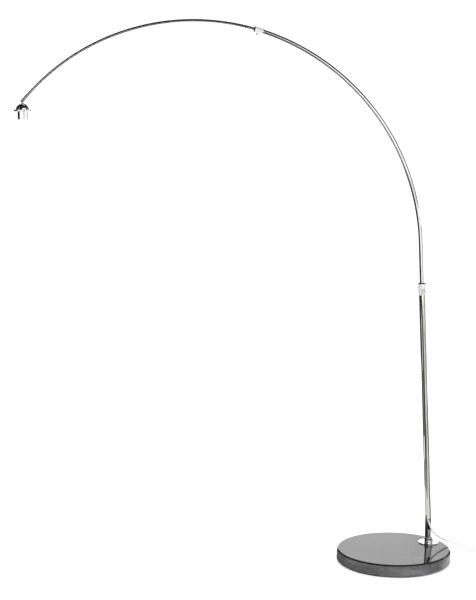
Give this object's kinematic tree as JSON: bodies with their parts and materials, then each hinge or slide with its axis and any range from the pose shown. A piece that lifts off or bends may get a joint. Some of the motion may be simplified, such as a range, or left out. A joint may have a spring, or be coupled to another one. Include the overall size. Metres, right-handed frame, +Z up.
{
  "type": "arc floor lamp",
  "caption": "Arc floor lamp: round stone base, straight mast, telescoping two-piece arc arm and a plumb tilting lampholder.",
  "frame": {"origin": "centre of the underside of the base's felt, on the floor", "axes": "+Z up, along the mast and the longest extent; the arm reaches towards -X; +X is the cord side; +Y is the back"},
  "size_m": [1.8764, 0.4, 1.897],
  "materials": {
    "marble": "polished black marble",
    "felt": "black felt",
    "chrome": "polished chrome plate",
    "steel": "zinc-plated steel",
    "brass": "plain brass",
    "nylon": "natural nylon",
    "ceramic": "white steatite",
    "cord": "pale grey flexible PVC",
    "white_plastic": "pale moulded plastic",
    "live_wire": "brown core insulation",
    "neutral_wire": "blue core insulation"
  },
  "bodies": {
    "stand": {"base_felt": "felt", "marble_base": "marble", "base_flange": "chrome", "flange_screw_left": "steel", "flange_screw_right": "steel", "mast_socket": "chrome", "socket_set_screw": "steel", "base_washer": "steel", "base_bolt": "steel", "mast_tube": "chrome", "lower_collar": "chrome", "cord_strain_relief": "cord", "mast_cable": "cord", "cord_to_switch": "cord", "switch_base": "white_plastic", "switch_cover": "white_plastic", "switch_contacts": "nylon", "cord_to_coil": "cord", "cord_coil": "cord", "cord_tie_1": "white_plastic", "cord_tie_2": "white_plastic", "cord_to_plug": "cord", "plug_relief": "white_plastic", "plug_body": "white_plastic", "plug_pin_1": "brass", "plug_pin_2": "brass"},
    "swivel_bush": {"lower_bush": "nylon"},
    "lower_knob": {"lower_lock_knob": "chrome"},
    "middle_arm": {"middle_arc_tube": "chrome", "shank_guide": "nylon", "upper_collar": "chrome", "upper_bush": "nylon", "middle_cable": "cord"},
    "upper_knob": {"upper_lock_screw": "chrome"},
    "upper_arm": {"upper_arc_tube": "chrome", "upper_guide": "nylon", "tip_sleeve": "chrome", "knuckle_screw": "steel", "knuckle_nut": "steel", "upper_cable": "cord"},
    "head": {"swivel_eye": "chrome", "nipple_nut": "brass", "lampholder_cap": "chrome", "lampholder_sleeve": "chrome", "ceramic_insert": "ceramic", "screw_shell": "brass", "centre_contact": "brass", "side_contact": "brass", "terminal_screw_live": "brass", "terminal_screw_neutral": "brass", "live_lead": "live_wire", "neutral_lead": "neutral_wire"},
    "ring": {"shade_ring": "chrome"},
    "foot_button": {"switch_button": "white_plastic"}
  },
  "joints": [
    {"name": "arm_swivel", "type": "hinge", "parent": "stand", "child": "swivel_bush", "pos_m": [0.08708, 0.084, 0.95102], "axis": [-0.0415, 0, 0.9991], "range_deg": [-170, 170]},
    {"name": "arm_height", "type": "slide", "parent": "swivel_bush", "child": "middle_arm", "axis": [-0.0415, 0, 0.9991], "range_m": [-0.12, 0.15]},
    {"name": "lower_knob_turn", "type": "hinge", "parent": "stand", "child": "lower_knob", "pos_m": [0.08708, 0.084, 0.95102], "axis": [0.2586, -0.9659, 0.0107], "range_deg": [-90, 360]},
    {"name": "arm_reach", "type": "hinge", "parent": "middle_arm", "child": "upper_arm", "pos_m": [-0.72445, 0.084, 1.08644], "axis": [0, 1, 0], "range_deg": [-8, 16]},
    {"name": "upper_knob_turn", "type": "hinge", "parent": "middle_arm", "child": "upper_knob", "pos_m": [-0.49102, 0.084, 1.8571], "axis": [-0.2994, 0, -0.9541], "range_deg": [-90, 360]},
    {"name": "head_tilt", "type": "hinge", "parent": "upper_arm", "child": "head", "pos_m": [-1.33337, 0.084, 1.61418], "axis": [0, 1, 0], "range_deg": [-45, 45]},
    {"name": "ring_turn", "type": "hinge", "parent": "head", "child": "ring", "pos_m": [-1.33337, 0.084, 1.5807], "axis": [0, 0, 1], "continuous": true},
    {"name": "button_press", "type": "slide", "parent": "stand", "child": "foot_button", "axis": [0, 0, -1], "range_m": [0, 0.003], "stiffness_N_per_m": 600}
  ]
}
